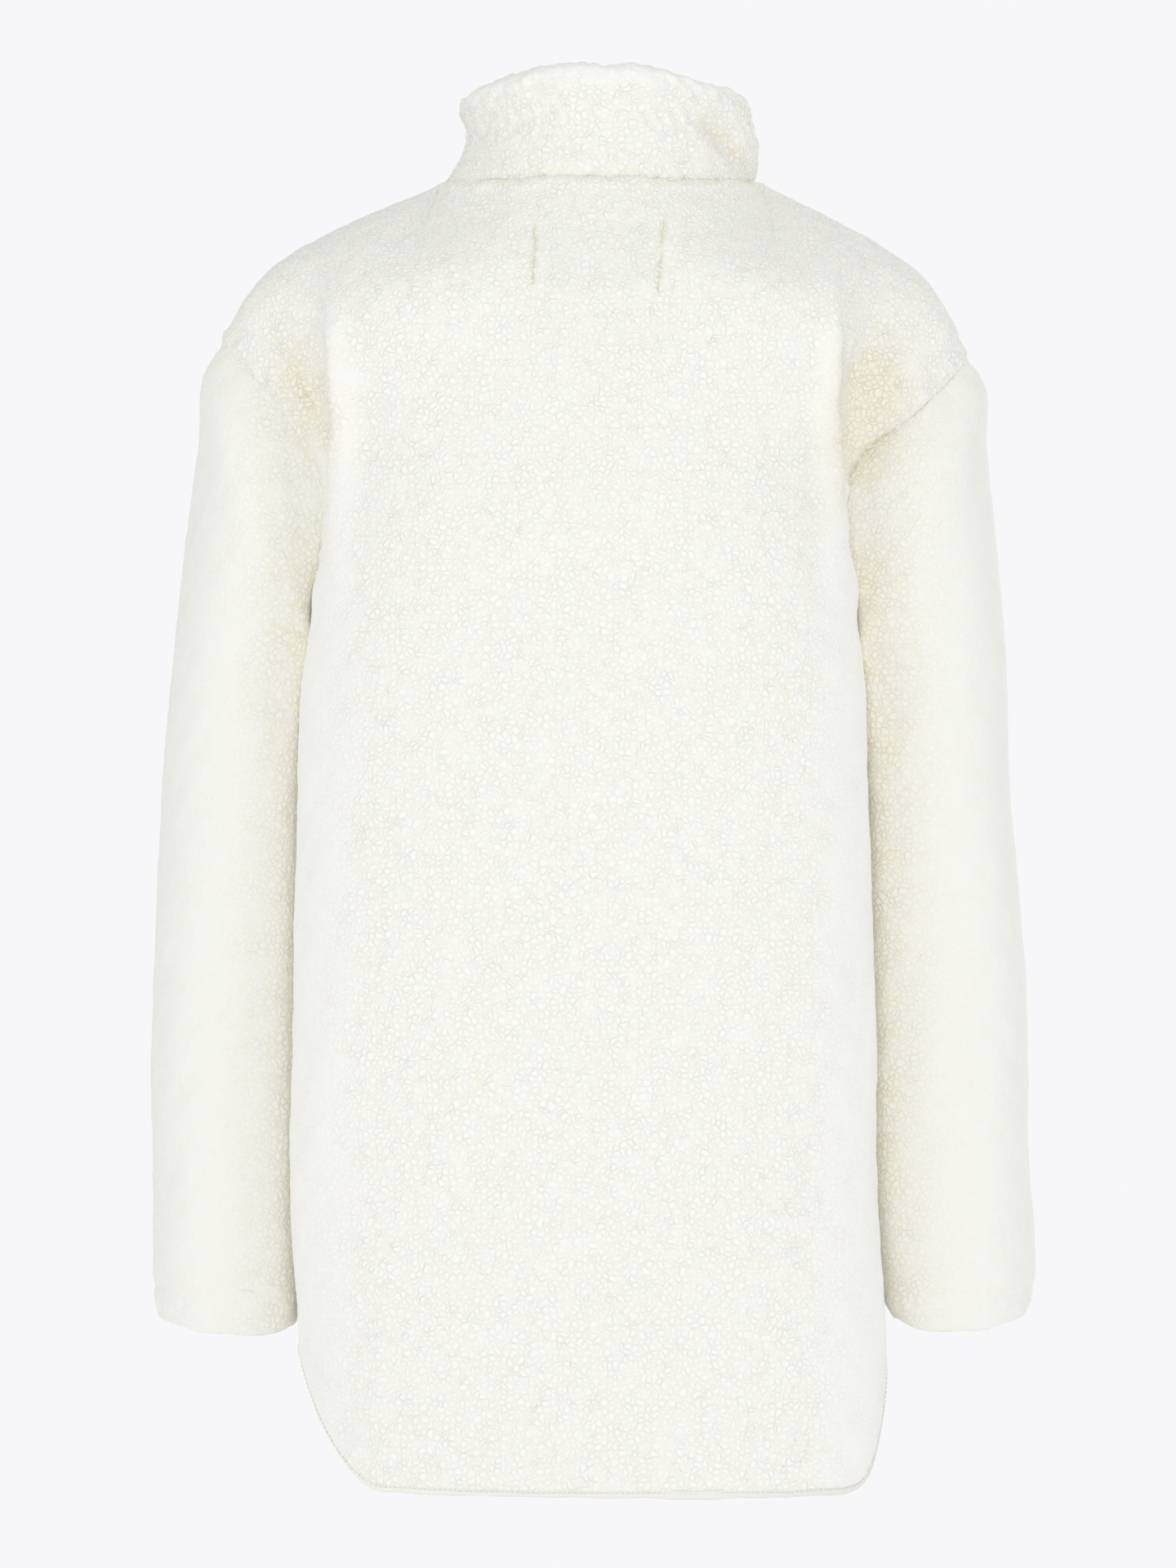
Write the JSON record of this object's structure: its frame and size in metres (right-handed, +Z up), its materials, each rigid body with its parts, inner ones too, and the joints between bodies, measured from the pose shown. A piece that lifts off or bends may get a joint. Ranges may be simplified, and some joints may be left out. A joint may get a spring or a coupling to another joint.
{
  "type": "sherpa fleece pullover",
  "caption": "Long off-white sherpa fleece pullover, filled out as if worn, with a tall stand collar, dropped shoulders and a curved, bound shirt-tail hem.",
  "frame": {"origin": "middle of the neck, level with the collar's seam, where the wearer's neck and shoulders carry it", "axes": "+Z up towards the collar, -Y out of the back, +Y out of the front, +X towards the wearer's right sleeve"},
  "size_m": [0.5432, 0.2527, 0.8491],
  "materials": {
    "sherpa": "curled off-white pile, matt",
    "tape": "smooth off-white knit tape, matt"
  },
  "bodies": {
    "root": {"back": "sherpa", "front": "sherpa", "sleeve_left": "sherpa", "sleeve_right": "sherpa", "cuff_left": "sherpa", "cuff_right": "sherpa", "collar": "sherpa", "hem_binding": "tape"}
  },
  "joints": []
}
